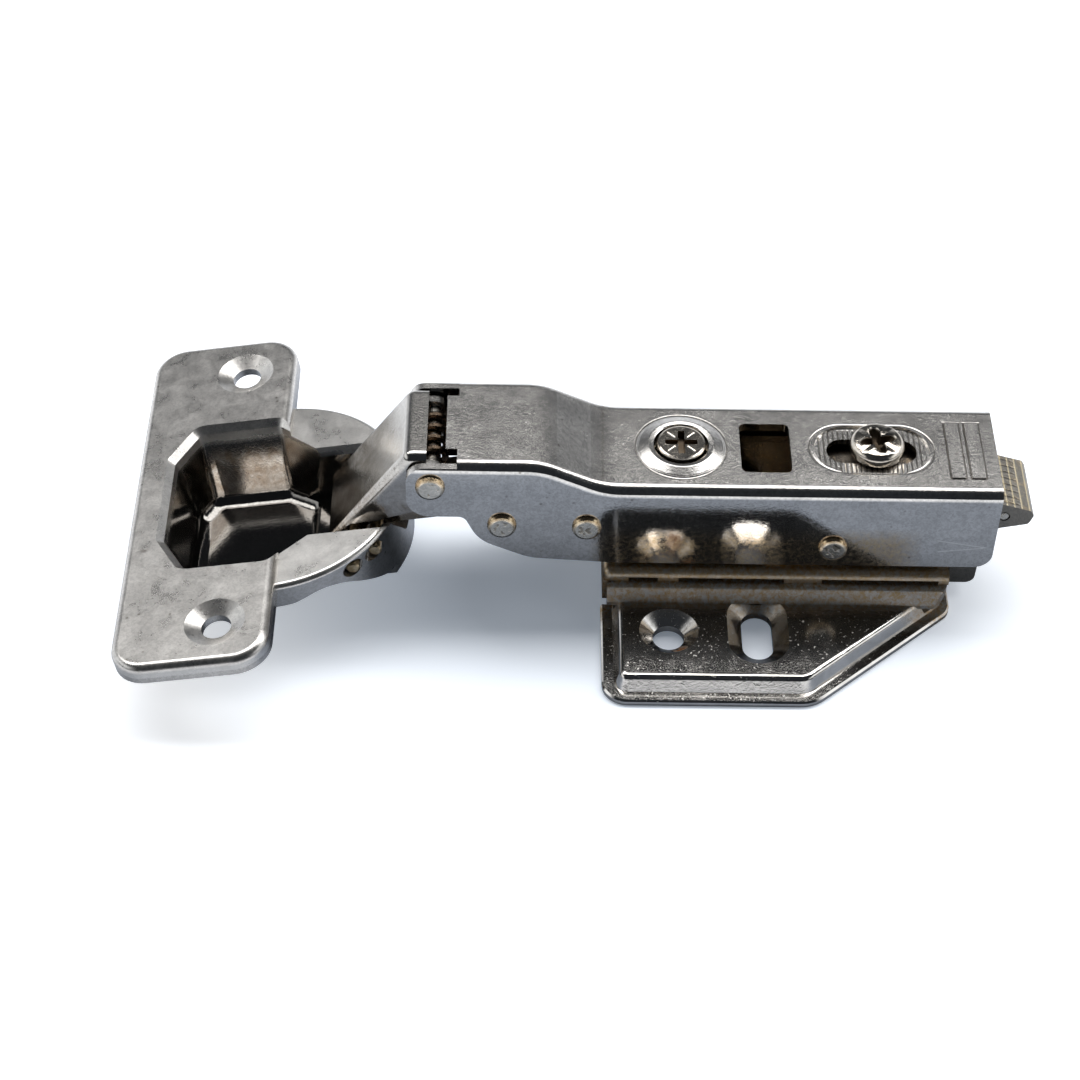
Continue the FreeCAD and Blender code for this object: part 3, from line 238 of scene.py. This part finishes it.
class Finish:
    """A metal finish being built: its colour, roughness and height. Masks run from 0 to 1."""

    def __init__(self, name, color, rough, cloud=0.06, grain=0.10, speck=0.3, spread=0.05,
                 grain_scale=2400.0):
        self.mat, self.tree, self.shader = new_material(name)
        tree = self.tree
        self.shader.inputs["Metallic"].default_value = 1.0
        tone = ramp(tree, noise(tree, 170.0, 4.0, 0.62, 1.2), [(0.36, 0.0), (0.64, 1.0)])
        dark = tuple(c * (1 - cloud) for c in color)
        light = tuple(min(1.0, c * (1 + cloud)) for c in color)
        base = mix(tree, tone, dark, light)
        swirl = noise(tree, grain_scale, 2.0, 0.5, 0.9)
        shading = ramp(tree, swirl, [(0.36, 1.0 - grain), (0.62, 1.0)])
        base = mix(tree, 1.0, base, shading, "MULTIPLY")
        if speck:
            cells = tree.nodes.new("ShaderNodeTexVoronoi")
            cells.inputs["Scale"].default_value = 520.0
            tree.links.new(coords(tree), cells.inputs["Vector"])
            dots = ramp(tree, cells.outputs["Distance"], [(0.05, 1.0), (0.14, 0.0)])
            rare = ramp(tree, noise(tree, 260.0, 2.0), [(0.54, 0.0), (0.58, 1.0)])
            spot = math_node(tree, "MULTIPLY", both(tree, dots, rare), speck)
            base = mix(tree, spot, base, SPECK)
        self.base = base
        self.rough = level(tree, noise(tree, 300.0, 4.0, 0.7, 0.5), 0.3, 0.7,
                           max(0.02, rough - spread), rough + spread)
        self.height = swirl

    def tint(self, mask, color, amount=1.0):
        """Colour the surface under the mask."""
        part = math_node(self.tree, "MULTIPLY", mask, amount)
        self.base = mix(self.tree, part, self.base, color)

    def shade(self, mask, color, amount=1.0):
        """Darken the surface under the mask."""
        part = math_node(self.tree, "MULTIPLY", mask, amount)
        self.base = mix(self.tree, part, self.base, color, "MULTIPLY")

    def gloss(self, mask, value):
        self.rough = lerp(self.tree, mask, self.rough, value)

    def relief(self, mask, amount):
        raised = math_node(self.tree, "MULTIPLY", mask, amount)
        self.height = math_node(self.tree, "ADD", self.height, raised)

    def spots(self, scale, low, high, detail=5.0):
        return ramp(self.tree, noise(self.tree, scale, detail, 0.72, 0.6), [(low, 0.0), (high, 1.0)])

    def done(self, bump=0.1, distance=0.00006):
        tree = self.tree
        tree.links.new(self.base, self.shader.inputs["Base Color"])
        tree.links.new(self.rough, self.shader.inputs["Roughness"])
        node = tree.nodes.new("ShaderNodeBump")
        node.inputs["Strength"].default_value = bump
        node.inputs["Distance"].default_value = distance
        tree.links.new(self.height, node.inputs["Height"])
        tree.links.new(node.outputs[0], self.shader.inputs["Normal"])
        return self.mat


def plastic(name, color, rough):
    mat, tree, shader = new_material(name)
    tone = noise(tree, 900.0, 3.0)
    dark = tuple(c * 0.85 for c in color)
    tree.links.new(mix(tree, tone, dark, color), shader.inputs["Base Color"])
    gloss = level(tree, noise(tree, 2500.0, 2.0), 0.3, 0.7, rough - 0.06, rough + 0.06)
    tree.links.new(gloss, shader.inputs["Roughness"])
    return mat


NICKEL = (0.65, 0.625, 0.59)
WARM = (0.40, 0.27, 0.13)
GOLD = (0.62, 0.47, 0.27)
SPECK = (0.10, 0.075, 0.05)
SCREW = (0.66, 0.60, 0.52)
ACROSS_Y = (1, 0, 1)
ACROSS_Z = (1, 1, 0)

# Places on the object in mm, as in the CAD
FRONT_RIVET = (-32.14, 22.19)
MIDDLE_RIVET = (-22.67, 15.28)
DAMPER_RIVET = (-11.37, 15.11)
REAR_RIVET = (21.83, 11.74)
RELEASE_PIN = (45.0, 14.45)
SIDE_SCREW_X = 1.16
DEPTH_SCREW_X = 27.35
STRIPES_X = (36.85, 39.55)
TOP_MARK = (21.0, 21.5)
SLOT_X = (22.95, 30.45)
RIM_NICK = (-70.6, -9.4)
RUST_SPOT = (1.5, -18.9)


def arm_finish():
    metal = Finish("arm_nickel", NICKEL, 0.250, cloud=0.07, grain=0.22, speck=0.6, spread=0.025)
    tree = metal.tree
    side = level(tree, facing(tree, 1), 0.25, 0.8)
    metal.gloss(side, 0.06)
    metal.height = math_node(tree, "MULTIPLY", metal.height, lerp(tree, side, 1.0, 0.35))
    x, y, z = (axis_value(tree, i) for i in range(3))
    low = both(tree, side, level(tree, z, 15.5, 12.5), band(tree, x, -7.0, 30.0, 4.0))
    painted_reflection_spots = both(tree, low, metal.spots(1500.0, 0.42, 0.62))
    # Painted shade: the side walls are darkened a little.
    metal.shade(side, (0.92, 0.93, 0.94), 1.0)
    # Painted reflection: the lower side wall over the plate is darkened and spotted gold, standing for the
    # plate reflected in it.
    metal.shade(low, (0.72, 0.64, 0.56), 1.0)
    metal.tint(painted_reflection_spots, GOLD, 0.7)
    metal.gloss(painted_reflection_spots, 0.24)
    near = level(tree, y, -8.0, -8.4)
    for start, end in (((35.8, 0, 13.3), (42.3, 0, 12.1)), ((36.1, 0, 11.2), (42.0, 0, 12.0))):
        line = both(tree, stroke(tree, ACROSS_Y, start, end, 0.16), near)
        metal.tint(line, (0.85, 0.82, 0.76), 0.8)
        metal.relief(line, 1.2)
    # Painted shade: a mottled dark line along the foot of the ramp.
    crease_shade = both(tree, stroke(tree, ACROSS_Z, (-9.2, 8.0, 0), (-9.4, -6.4, 0), 0.22),
                  metal.spots(700.0, 0.36, 0.5))
    metal.shade(crease_shade, (0.55, 0.52, 0.48), 0.7)
    # Painted shade: two dark rings on the top round the side screw, also sunk in the bump.
    for radius, width, amount in ((6.15, 0.16, 0.6), (5.75, 0.12, 0.25)):
        away = radius_from(tree, ACROSS_Z, (SIDE_SCREW_X, 0, 0))
        gap = math_node(tree, "ABSOLUTE", math_node(tree, "SUBTRACT", away, radius))
        ring = both(tree, level(tree, gap, width, 0.0), level(tree, z, *TOP_MARK))
        metal.shade(ring, (0.45, 0.42, 0.38), amount)
        metal.relief(ring, -1.5)
    pan = both(tree, band(tree, x, 19.6, 33.8, 0.3), band(tree, y, -3.9, 3.9, 0.3),
               level(tree, z, 21.75, 21.6), level(tree, z, 20.6, 20.9))
    # Painted shade: the slot pan's serrations are dark stripes, also sunk in the bump.
    teeth = both(tree, pan, stripes(tree, x, 0.68, 0.26))
    metal.shade(teeth, (0.30, 0.28, 0.25), 0.9)
    metal.relief(teeth, -3.0)
    rim = stroke(tree, ACROSS_Z, (SLOT_X[0], 0, 0), (SLOT_X[1], 0, 0), 5.0)
    for low_end, high_end, amount in ((0.06, 0.12, -3.0), (0.20, 0.24, 1.8)):
        ring = both(tree, band(tree, rim, low_end, high_end, 0.03), level(tree, z, 21.55, 21.75))
        metal.relief(ring, amount)
    # Painted shade: a dark line on the slot pan's rim.
    edge = both(tree, band(tree, rim, 0.06, 0.075, 0.015), level(tree, z, 21.5, 21.7))
    metal.shade(edge, (0.40, 0.38, 0.36), 0.8)
    # Painted shade: dark outlines round the two raised stripes, which are also raised in the bump.
    for place in STRIPES_X:
        outer = both(tree, band(tree, x, place - 0.10, place + 2.10, 0.08),
                     band(tree, y, -5.5, 5.5, 0.08))
        inner = both(tree, band(tree, x, place + 0.14, place + 1.86, 0.08),
                     band(tree, y, -5.26, 5.26, 0.08))
        edge = both(tree, math_node(tree, "SUBTRACT", outer, inner), level(tree, z, *TOP_MARK))
        metal.shade(edge, (0.40, 0.375, 0.35), 0.85)
        metal.relief(both(tree, outer, level(tree, z, *TOP_MARK)), -4.5)
    return metal.done(0.24)


def cup_finish():
    metal = Finish("cup_nickel", NICKEL, 0.30, cloud=0.07, grain=0.20, speck=0.6)
    tree = metal.tree
    deep = cup_height(tree)
    x, y = (axis_value(tree, i) for i in range(2))
    # Painted shade: the near part of the flange is darker.
    metal.shade(level(tree, y, -12.0, -22.0), (0.83, 0.83, 0.83), 1.0)
    # Painted light: the ears are lightened.
    ears = both(tree, level(tree, deep, -0.8, -1.3), level(tree, deep, -2.0, -1.8))
    metal.tint(ears, (0.71, 0.69, 0.655), 0.55)
    inside = both(tree, level(tree, deep, -1.9, -2.6), band(tree, x, -71.5, -46.0, 1.5),
                  band(tree, y, -14.2, 14.2, 1.0))
    metal.gloss(inside, 0.09)
    # Painted shade: the cup's inside is darkened, more towards its floor.
    metal.shade(inside, (0.56, 0.55, 0.54), 1.0)
    metal.shade(both(tree, inside, level(tree, deep, -8.6, -9.6)), (0.50, 0.50, 0.50), 1.0)
    stain = both(tree, inside, band(tree, deep, -8.2, -3.6, 1.4), level(tree, y, 5.0, 7.5),
                 metal.spots(420.0, 0.36, 0.60))
    metal.shade(stain, (0.50, 0.38, 0.27), 0.75)
    nick = level(tree, radius_from(tree, ACROSS_Z, (*RIM_NICK, 0)), 0.75, 0.1)
    metal.shade(both(tree, nick, metal.spots(900.0, 0.40, 0.52)), (0.25, 0.2, 0.17), 0.9)
    edge = both(tree, level(tree, deep, -1.5, -3.2), level(tree, facing(tree, 2), 0.6, 0.2))
    metal.gloss(edge, 0.13)
    return metal.done(0.12)


def lever_finish():
    # Painted shade: the lever's nickel is darker than the arm's.
    metal = Finish("lever_nickel", (0.49, 0.47, 0.44), 0.14, cloud=0.06, grain=0.13, speck=0.4)
    tree = metal.tree
    z = axis_value(tree, 2)
    low = level(tree, z, 24.0, 16.0)
    metal.gloss(low, 0.12)
    metal.gloss(level(tree, facing(tree, 2), 0.85, 0.97), 0.25)
    # Painted reflection: the lower web is darkened in patches, standing for the cup reflected in it.
    metal.shade(both(tree, low, metal.spots(500.0, 0.30, 0.6)), (0.50, 0.45, 0.40), 0.95)
    return metal.done(0.26)


def plate_finish(name, color, near_saddle):
    metal = Finish(name, color, 0.120, cloud=0.10, grain=0.05, speck=0.25, spread=0.03)
    tree = metal.tree
    y = math_node(tree, "ABSOLUTE", axis_value(tree, 1))
    band_at = level(tree, y, near_saddle + 2.6, near_saddle - 0.4)
    gold = both(tree, band_at, metal.spots(1500.0, 0.40, 0.60))
    metal.tint(gold, (0.46, 0.31, 0.14), 0.85)
    metal.gloss(band_at, 0.42)
    metal.relief(gold, 1.5)
    dust = both(tree, metal.spots(2600.0, 0.655, 0.70, 2.0), level(tree, facing(tree, 2), 0.5, 0.9))
    metal.tint(dust, (0.80, 0.76, 0.70), 0.6)
    metal.gloss(dust, 0.5)
    rust = level(tree, radius_from(tree, ACROSS_Z, (*RUST_SPOT, 0)), 1.5, 0.5)
    rust = both(tree, rust, metal.spots(800.0, 0.34, 0.50), level(tree, axis_value(tree, 2), 2.9, 2.7))
    metal.tint(rust, (0.30, 0.13, 0.04), 0.95)
    metal.gloss(rust, 0.7)
    return metal.done(0.14)


def rivet_finish(name, pivot):
    metal = Finish(name, (0.66, 0.62, 0.545), 0.26, cloud=0.10, grain=0.20, speck=0.3, grain_scale=1700.0)
    tree = metal.tree
    away = radius_from(tree, ACROSS_Y, (pivot[0], 0, pivot[1]))
    upper = level(tree, axis_value(tree, 2), pivot[1] - 0.9, pivot[1] + 0.6)
    rim = both(tree, level(tree, away, 1.35, 1.75), upper)
    metal.tint(rim, GOLD, 0.75)
    metal.shade(both(tree, rim, metal.spots(1500.0, 0.40, 0.60)), (0.55, 0.42, 0.30), 0.7)
    pit = both(tree, metal.spots(900.0, 0.56, 0.60, 2.0), level(tree, away, 1.3, 0.9))
    metal.shade(pit, (0.5, 0.46, 0.4), 0.8)
    metal.relief(pit, -2.0)
    return metal.done(0.35)


def pin_finish():
    metal = Finish("pin_metal", (0.46, 0.37, 0.24), 0.30, cloud=0.18, grain=0.25, speck=0.5,
                   grain_scale=1600.0)
    tree = metal.tree
    lines = noise(tree, 900.0, 3.0, 0.6, 0.0, stretch=(1.0, 0.15, 1.0))
    metal.shade(ramp(tree, lines, [(0.45, 0.0), (0.60, 1.0)]), (0.45, 0.38, 0.28), 0.7)
    metal.relief(lines, 2.0)
    return metal.done(0.4)


def screw_finish(name, centre, recess=None):
    """A screw's metal; recess is the pair of heights in mm between which its cross darkens."""
    metal = Finish(name, SCREW, 0.17, cloud=0.10, grain=0.16, speck=0.3)
    tree = metal.tree
    if recess:
        away = radius_from(tree, ACROSS_Z, (centre, 0, 0))
        dx = math_node(tree, "ABSOLUTE", math_node(tree, "SUBTRACT", axis_value(tree, 0), centre))
        dy = math_node(tree, "ABSOLUTE", axis_value(tree, 1))
        gap = math_node(tree, "ABSOLUTE", math_node(tree, "SUBTRACT", dx, dy))
        # Painted highlight: the ticks between the cross's arms are lightened, also sunk in the bump.
        tick = both(tree, level(tree, gap, 0.20, 0.04), band(tree, away, 1.25, 2.45, 0.1),
                    level(tree, axis_value(tree, 2), 22.5, 22.8))
        metal.tint(tick, (0.85, 0.80, 0.72), 0.7)
        metal.relief(tick, -2.5)
        # Painted shade: the cross recess is darkened.
        core = both(tree, level(tree, axis_value(tree, 2), *recess), level(tree, away, 2.7, 2.4))
        metal.shade(core, (0.16, 0.12, 0.08), 0.92)
        metal.gloss(core, 0.4)
    return metal.done(0.3)


def lever_cast():
    metal = Finish("die_cast_grey", (0.22, 0.205, 0.18), 0.42, cloud=0.08, grain=0.16, speck=0.3,
                   grain_scale=3000.0)
    tree = metal.tree
    x, y, z = (axis_value(tree, i) for i in range(3))
    top = both(tree, level(tree, facing(tree, 2), 0.35, 0.6), level(tree, z, 14.6, 15.2),
               level(tree, x, 41.5, 42.5))
    rows = both(tree, top, stripes(tree, math_node(tree, "ADD", y, 0.6), 1.2, 0.20),
                level(tree, x, 47.2, 46.6))
    columns = both(tree, top, stripes(tree, x, 1.05, 0.15))
    # Painted shade: the grip's grooves are dark rows, also sunk in the bump.
    metal.shade(rows, (0.18, 0.15, 0.11), 0.95)
    metal.relief(rows, -3.0)
    # Painted highlight: the raised columns are lightened to pale gold, also raised in the bump.
    metal.tint(columns, (0.66, 0.56, 0.36), 0.8)
    metal.relief(columns, 2.0)
    metal.tint(both(tree, metal.spots(700.0, 0.50, 0.62), top), GOLD, 0.25)
    return metal.done(0.45, 0.0001)


def spring_finish():
    metal = Finish("spring_bronze", (0.26, 0.19, 0.135), 0.26, cloud=0.22, grain=0.2, speck=0.0)
    return metal.done(0.3)


def carriage_finish():
    # The dark brown base is partly these parts' own golden-brown tone and partly painted shade inside the
    # arm.
    metal = Finish("carriage_nickel", (0.38, 0.33, 0.27), 0.20, cloud=0.12, grain=0.15, speck=0.4)
    metal.tint(metal.spots(900.0, 0.54, 0.66), WARM, 0.4)
    metal.tint(metal.spots(2600.0, 0.62, 0.66, 2.0), (0.75, 0.62, 0.42), 0.6)
    return metal.done(0.3)


def assign(node, mat):
    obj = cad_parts[node]
    obj.data.materials.clear()
    obj.data.materials.append(mat)


assign("hinge_arm", arm_finish())
assign("hinge_cup", cup_finish())
assign("outer_lever", lever_finish())
for node, pivot in (("front_rivet", FRONT_RIVET), ("middle_rivet", MIDDLE_RIVET),
                    ("damper_rivet", DAMPER_RIVET), ("rear_rivet", REAR_RIVET)):
    assign(node, rivet_finish(node + "_metal", pivot))
assign("wing_plate", plate_finish("plate_nickel", (0.60, 0.575, 0.54), 10.9))
assign("saddle", plate_finish("saddle_nickel", (0.54, 0.47, 0.38), 9.3))
carriage_metal = carriage_finish()
for node in ("inner_lever", "carriage", "clip_rail", "depth_nut"):
    assign(node, carriage_metal)
assign("side_screw", screw_finish("side_screw_metal", SIDE_SCREW_X, (22.7, 22.5)))
assign("depth_screw", screw_finish("depth_screw_metal", DEPTH_SCREW_X))


def star_screw():
    """The depth screw with its tapered four-armed recess."""
    centre, foot, under, top = DEPTH_SCREW_X, 16.0, 21.84, 23.79
    shank, head = 2.0, 3.67
    count = 96
    turns = [math.tau * k / count for k in range(count)]
    lobes = [1.0 + 1.45 * abs(math.cos(2 * (turn - 0.22))) ** 1.7 for turn in turns]
    plain = [(1.6, foot), (shank, foot + 0.4), (shank, under), (3.40, under), (head, under + 0.27),
             (head, top - 0.85), (3.55, top - 0.50), (3.20, top - 0.12), (2.95, top)]
    rings = [([r] * count, z) for r, z in plain]
    rings.append(([v + 0.12 for v in lobes], top))
    rings += [([v * part for v in lobes], top - drop)
              for part, drop in ((1.0, 0.10), (0.90, 0.55), (0.72, 1.05), (0.45, 1.40))]
    mesh = bpy.data.meshes.new("star_screw")
    shape = bmesh.new()
    loops = []
    for radii, z in rings:
        loops.append([shape.verts.new(((centre + r * math.cos(turn)) * MM, r * math.sin(turn) * MM, z * MM))
                      for turn, r in zip(turns, radii)])
    for low, high in zip(loops, loops[1:]):
        for k in range(count):
            shape.faces.new((low[k], low[(k + 1) % count], high[(k + 1) % count], high[k]))
    shape.faces.new(list(reversed(loops[0])))
    end = shape.verts.new((centre * MM, 0, (top - 1.5) * MM))
    for k in range(count):
        shape.faces.new((loops[-1][k], loops[-1][(k + 1) % count], end))
    bmesh.ops.recalc_face_normals(shape, faces=shape.faces)
    for face in shape.faces:
        face.smooth = True
    shape.to_mesh(mesh)
    shape.free()
    mesh.set_sharp_from_angle(angle=math.radians(32))
    piece = bpy.data.objects.new("star_screw", mesh)
    scene.collection.objects.link(piece)
    metal = Finish("star_screw_metal", SCREW, 0.17, cloud=0.12, grain=0.18, speck=0.3)
    tree = metal.tree
    x = math_node(tree, "SUBTRACT", axis_value(tree, 0), centre)
    # Painted shade: the recess is darkened.
    deep = both(tree, level(tree, axis_value(tree, 2), top - 0.05, top - 0.30),
                level(tree, radius_from(tree, ACROSS_Z, (centre, 0, 0)), 2.8, 2.6))
    metal.shade(deep, (0.06, 0.045, 0.03), 0.97)
    metal.gloss(deep, 0.5)
    y = axis_value(tree, 1)
    wedge = math_node(tree, "ABSOLUTE", math_node(tree, "SUBTRACT", math_node(tree, "ABSOLUTE", x),
                                                  math_node(tree, "ABSOLUTE", y)))
    face = level(tree, axis_value(tree, 2), top - 0.2, top)
    metal.relief(both(tree, level(tree, wedge, 0.9, 0.0), face), -4.0)
    mesh.materials.append(metal.done(0.4))
    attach(piece, "lock_screw")
    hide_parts("depth_screw")


star_screw()
pins = pin_finish()
for node in ("clip_pin", "plate_rivets", "damper_rod", "cup_pins"):
    assign(node, pins)
assign("release_pin", rivet_finish("release_pin_metal", RELEASE_PIN))
springs = spring_finish()
for node in ("torsion_spring", "release_spring"):
    assign(node, springs)
damper = plastic("damper_plastic", (0.30, 0.31, 0.33), 0.5)
for node in ("damper_body", "damper_cap"):
    assign(node, damper)
assign("release_lever", lever_cast())


# Floor, lights and camera

# The painted shadow's ellipse on the floor, where the camera sees less glow: its middle in metres and one
# over its half axes
SHADOW_AT = (-0.005, -0.005, 0.0)
SHADOW_REACH = (25.0, 33.3, 0.0)


def build_floor():
    """A pale floor: white to the camera away from the object, with a painted shadow near it, and darker in
    reflections near it.
    """
    size = 3.0
    low = BOX[0][2] - 0.0001
    mesh = bpy.data.meshes.new("studio_floor")
    corners = [(-size, -size, low), (size, -size, low), (size, size, low), (-size, size, low)]
    mesh.from_pydata(corners, [], [(0, 1, 2, 3)])
    floor = bpy.data.objects.new("studio_floor", mesh)
    scene.collection.objects.link(floor)
    mat, tree, shader = new_material("studio_floor")
    shader.inputs["Roughness"].default_value = 0.9
    shader.inputs["Specular IOR Level"].default_value = 0.0
    middle = tuple((BOX[0][i] + BOX[1][i]) / 2 for i in (0, 1)) + (0.0,)
    half = tuple((BOX[1][i] - BOX[0][i]) / 2 for i in (0, 1)) + (9.0,)
    offset = vector_node(tree, "ABSOLUTE", vector_node(tree, "SUBTRACT", coords(tree), middle))
    outside = vector_node(tree, "MAXIMUM", vector_node(tree, "SUBTRACT", offset, half), (0.0, 0.0, 0.0))
    far = level(tree, vector_node(tree, "LENGTH", outside), 0.0, 0.028)
    away = vector_node(tree, "SUBTRACT", coords(tree), SHADOW_AT)
    away = vector_node(tree, "LENGTH", vector_node(tree, "MULTIPLY", away, SHADOW_REACH))
    open_floor = level(tree, away, 0.55, 1.65)
    path = tree.nodes.new("ShaderNodeLightPath")
    base = mix(tree, path.outputs["Is Glossy Ray"], (0.86, 0.89, 0.93), (0.36, 0.40, 0.47))
    tree.links.new(base, shader.inputs["Base Color"])
    # Painted shadow: the camera sees less glow, tinted bluish, inside the ellipse.
    seen = math_node(tree, "MULTIPLY", path.outputs["Is Camera Ray"], lerp(tree, open_floor, 0.17, 0.58))
    shine = math_node(tree, "MULTIPLY", path.outputs["Is Glossy Ray"], far)
    glow = mix(tree, open_floor, (0.86, 0.99, 1.16), (1.0, 1.0, 1.0))
    tree.links.new(glow, shader.inputs["Emission Color"])
    tree.links.new(math_node(tree, "ADD", seen, shine), shader.inputs["Emission Strength"])
    mesh.materials.append(mat)


def area_light(name, place, target, size, radiance, color):
    lamp = bpy.data.lights.new(name, "AREA")
    lamp.shape = "RECTANGLE"
    lamp.size, lamp.size_y = size
    lamp.energy = radiance * math.pi * size[0] * size[1]
    lamp.color = color
    obj = bpy.data.objects.new(name, lamp)
    scene.collection.objects.link(obj)
    obj.location = place
    aim = Vector(target) - Vector(place)
    obj.rotation_euler = aim.to_track_quat("-Z", "Y").to_euler()


DARK_SKY = (0.030, 0.034, 0.040)
BACKDROP = (0.90, 0.94, 1.0)
SIDE_PANEL = (1.5, 1.55, 1.6)


def build_world():
    """A backdrop low behind the object, a panel on each side and dark elsewhere; seen white."""
    world = bpy.data.worlds.new("studio")
    scene.world = world
    world.use_nodes = True
    tree = world.node_tree
    tree.nodes.clear()
    out = tree.nodes.new("ShaderNodeOutputWorld")
    back = tree.nodes.new("ShaderNodeBackground")
    tree.links.new(back.outputs[0], out.inputs[0])
    split = tree.nodes.new("ShaderNodeSeparateXYZ")
    tree.links.new(tree.nodes.new("ShaderNodeTexCoord").outputs["Generated"], split.inputs[0])
    low = level(tree, split.outputs[2], 0.42, 0.16)
    behind = level(tree, split.outputs[1], -0.25, 0.30)
    glow = both(tree, low, behind)
    aside = math_node(tree, "ABSOLUTE", split.outputs[0])
    sides = both(tree, level(tree, aside, 0.66, 0.86),
                 level(tree, split.outputs[2], 0.10, 0.30), level(tree, split.outputs[2], 0.66, 0.50))
    sky = mix(tree, glow, DARK_SKY, BACKDROP)
    sky = mix(tree, sides, sky, SIDE_PANEL)
    path = tree.nodes.new("ShaderNodeLightPath")
    tree.links.new(mix(tree, path.outputs["Is Camera Ray"], sky, (1.0, 1.0, 1.0)), back.inputs["Color"])
    back.inputs["Strength"].default_value = 1.0


CAMERA_AT = Vector((-20.976, -242.09, 252.489)) * MM
CAMERA_FORWARD = Vector((0.01026, 0.69738, -0.71663))
CAMERA_RIGHT = Vector((0.99986, 0.00224, 0.01649))
FOCAL_PIXELS = 2498.306
IMAGE_PIXELS = 1080.0


def build_camera():
    camera = bpy.data.cameras.new("camera")
    obj = bpy.data.objects.new("camera", camera)
    scene.collection.objects.link(obj)
    forward = CAMERA_FORWARD.normalized()
    right = (CAMERA_RIGHT - forward * CAMERA_RIGHT.dot(forward)).normalized()
    up = right.cross(forward)
    turn = Matrix((right, up, -forward)).transposed()
    obj.matrix_world = Matrix.Translation(CAMERA_AT) @ turn.to_4x4()
    camera.sensor_width = 36.0
    camera.lens = FOCAL_PIXELS / IMAGE_PIXELS * camera.sensor_width
    camera.clip_start = 0.01
    scene.camera = obj


build_floor()
build_world()
area_light("overhead", place=(0.15, 0.31, 0.74), target=(0.15, 0, 0), size=(1.8, 0.34),
           radiance=5.4, color=(0.985, 0.99, 1.0))
build_camera()
scene.view_settings.view_transform = "Standard"
